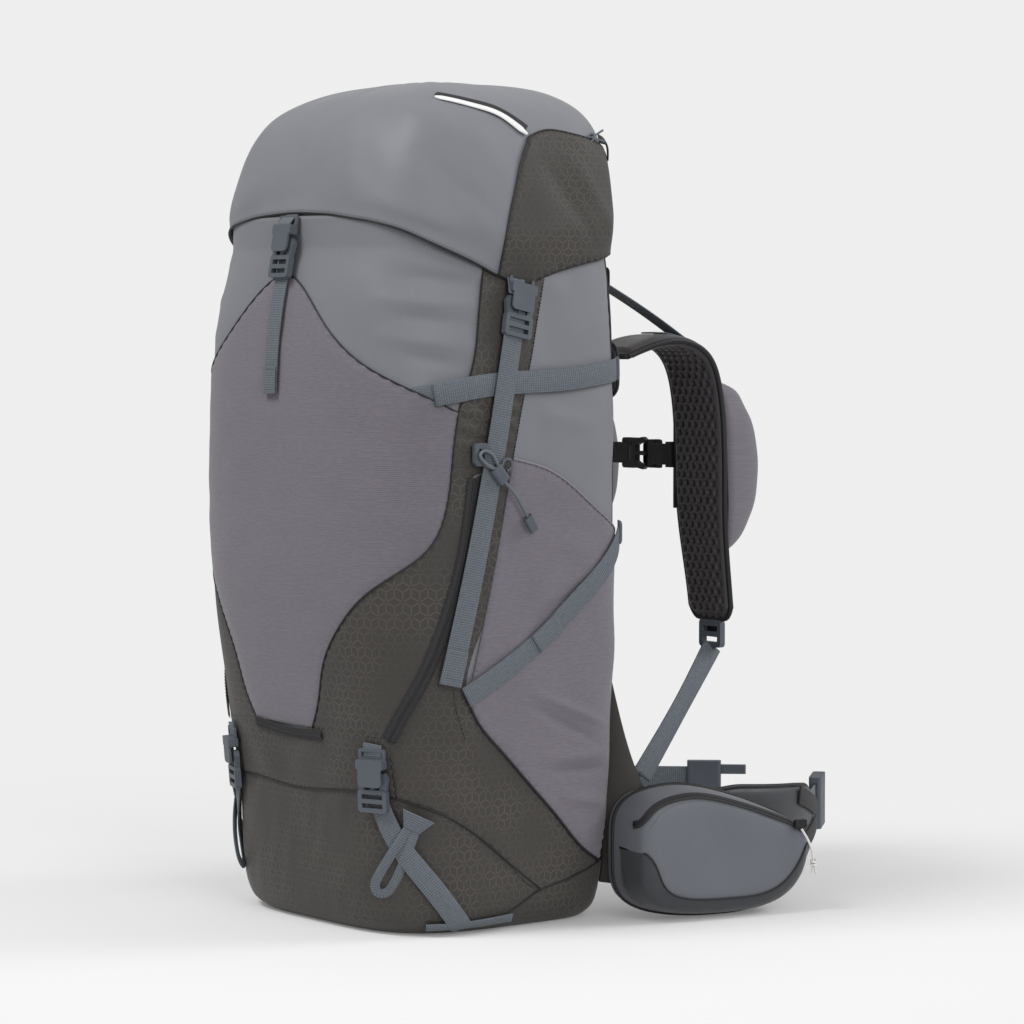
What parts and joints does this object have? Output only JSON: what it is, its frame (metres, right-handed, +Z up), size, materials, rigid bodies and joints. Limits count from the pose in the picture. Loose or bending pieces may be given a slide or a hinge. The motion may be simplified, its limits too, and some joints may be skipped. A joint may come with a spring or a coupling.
{
  "type": "hiking backpack",
  "caption": "Tall hiking backpack with a hinged lid, stretch pockets, sliding padded harness and a hip belt whose wings swing.",
  "frame": {"origin": "middle of the flat base face, on the floor", "axes": "+X to the pack's right side, -Y to its front, +Y to the wearer's side, +Z up"},
  "size_m": [0.4838, 0.6135, 0.746],
  "materials": {
    "grey_nylon": "woven nylon, low sheen",
    "stretch_knit": "ribbed stretch knit, matt",
    "dark_nylon": "coated nylon with an embossed pattern",
    "spacer_mesh": "open mesh over foam",
    "frame_plastic": "matt sheet",
    "stay_aluminium": "mill finish",
    "grey_plastic": "satin moulded",
    "black_plastic": "satin moulded",
    "black_webbing": "plain weave webbing",
    "pale_cord": "smooth cord",
    "dark_cord": "elastic cord",
    "grey_webbing": "ribbed webbing"
  },
  "bodies": {
    "bag": {"bag_base": "dark_nylon", "bag_front_panel": "grey_nylon", "bag_back_panel": "dark_nylon", "bag_side_panel_right": "grey_nylon", "bag_side_panel_left": "grey_nylon", "bag_collar": "grey_nylon", "frame_sheet": "frame_plastic", "frame_stays": "stay_aluminium", "back_pads": "spacer_mesh", "front_pocket": "stretch_knit", "side_pockets": "stretch_knit", "upper_compression_straps": "grey_webbing", "lower_compression_straps": "grey_webbing", "lid_straps": "grey_webbing", "mat_straps": "grey_webbing", "mat_buckle_females": "grey_plastic", "mat_buckle_webbings": "grey_webbing", "pole_clips": "grey_plastic", "pole_cord_right": "dark_cord", "pole_cord_left": "dark_cord", "pole_cord_ends": "grey_plastic", "harness_anchors": "dark_nylon"},
    "lid": {"lid_shell": "grey_nylon", "lid_underside": "grey_nylon", "lid_buckle_females": "grey_plastic", "lid_buckle_webbings": "grey_webbing"},
    "front_buckle": {"front_buckle_male": "grey_plastic"},
    "side_buckle_right": {"side_buckle_male_right": "grey_plastic"},
    "side_buckle_left": {"side_buckle_male_left": "grey_plastic"},
    "mat_buckle_right": {"mat_buckle_male_right": "grey_plastic"},
    "mat_buckle_left": {"mat_buckle_male_left": "grey_plastic"},
    "axe_loop_right": {"axe_loop_right": "grey_webbing"},
    "axe_loop_left": {"axe_loop_left": "grey_webbing"},
    "haul_loop": {"haul_loop": "grey_webbing"},
    "harness": {"yoke": "dark_nylon", "shoulder_strap_right": "spacer_mesh", "shoulder_strap_left": "spacer_mesh", "strap_pockets": "stretch_knit", "harness_ladder_locks": "grey_plastic", "strap_webbings": "grey_webbing", "load_lifters": "grey_webbing", "sternum_rails": "black_plastic"},
    "sternum": {"sternum_sliders": "black_plastic", "sternum_strap": "black_webbing", "sternum_buckle_female": "black_plastic"},
    "sternum_buckle": {"sternum_buckle_male": "black_plastic"},
    "hip_right": {"hip_wing_right": "dark_nylon", "hip_pocket_right": "grey_nylon", "hip_webbing_right": "grey_webbing", "hip_buckle_female": "grey_plastic"},
    "hip_left": {"hip_wing_left": "dark_nylon", "hip_pocket_left": "grey_nylon", "hip_webbing_left": "grey_webbing"},
    "hip_buckle": {"hip_buckle_male": "grey_plastic"},
    "hip_zip_right": {"hip_zip_slider_right": "black_plastic", "hip_zip_cord_right": "pale_cord"},
    "hip_zip_left": {"hip_zip_slider_left": "black_plastic", "hip_zip_cord_left": "pale_cord"}
  },
  "joints": [
    {"name": "lid_hinge", "type": "hinge", "parent": "bag", "child": "lid", "pos_m": [0, 0.116, 0.6], "axis": [-1, 0, 0], "range_deg": [0, 100]},
    {"name": "front_buckle_release", "type": "slide", "parent": "bag", "child": "front_buckle", "axis": [0, -0.1908, -0.9816], "range_m": [0, 0.02]},
    {"name": "side_buckle_release_right", "type": "slide", "parent": "bag", "child": "side_buckle_right", "axis": [0.0938, -0.207, -0.9738], "range_m": [0, 0.02]},
    {"name": "mat_buckle_release_right", "type": "slide", "parent": "bag", "child": "mat_buckle_right", "axis": [-0.0065, 0.0162, -0.9998], "range_m": [0, 0.02]},
    {"name": "axe_loop_swing_right", "type": "hinge", "parent": "bag", "child": "axe_loop_right", "pos_m": [0.13717, -0.11906, 0.104], "axis": [-0.7431, -0.6691, 0], "range_deg": [0, 80]},
    {"name": "hip_wing_flex_right", "type": "hinge", "parent": "bag", "child": "hip_right", "pos_m": [0.152, 0.112, 0.06], "axis": [0, 0, 1], "range_deg": [-22, 8]},
    {"name": "hip_zip_run_right", "type": "hinge", "parent": "hip_right", "child": "hip_zip_right", "pos_m": [0.21313, 0.1729, -0.027], "axis": [0.9833, -0.1822, 0], "range_deg": [0, 62]},
    {"name": "side_buckle_release_left", "type": "slide", "parent": "bag", "child": "side_buckle_left", "axis": [-0.0938, -0.207, -0.9738], "range_m": [0, 0.02]},
    {"name": "mat_buckle_release_left", "type": "slide", "parent": "bag", "child": "mat_buckle_left", "axis": [0.0065, 0.0162, -0.9998], "range_m": [0, 0.02]},
    {"name": "axe_loop_swing_left", "type": "hinge", "parent": "bag", "child": "axe_loop_left", "pos_m": [-0.13717, -0.11906, 0.104], "axis": [-0.7431, 0.6691, 0], "range_deg": [0, 80]},
    {"name": "hip_wing_flex_left", "type": "hinge", "parent": "bag", "child": "hip_left", "pos_m": [-0.152, 0.112, 0.06], "axis": [0, 0, -1], "range_deg": [-22, 8]},
    {"name": "hip_zip_run_left", "type": "hinge", "parent": "hip_left", "child": "hip_zip_left", "pos_m": [-0.21313, 0.1729, -0.027], "axis": [0.9833, 0.1822, 0], "range_deg": [0, 62]},
    {"name": "haul_loop_swing", "type": "hinge", "parent": "bag", "child": "haul_loop", "pos_m": [0, 0.1137, 0.575], "axis": [1, 0, 0], "range_deg": [0, 75]},
    {"name": "harness_height", "type": "slide", "parent": "bag", "child": "harness", "axis": [0, 0, 1], "range_m": [-0.04, 0.02], "deforming": ["load_lifters", "strap_webbings"]},
    {"name": "sternum_height", "type": "slide", "parent": "harness", "child": "sternum", "axis": [0, 0, 1], "range_m": [-0.03, 0.03]},
    {"name": "sternum_release", "type": "slide", "parent": "sternum", "child": "sternum_buckle", "axis": [-1, 0, 0], "range_m": [0, 0.018]},
    {"name": "hip_buckle_adjust", "type": "slide", "parent": "hip_left", "child": "hip_buckle", "axis": [0.6691, 0.7431, 0], "range_m": [0, 0.028]}
  ]
}
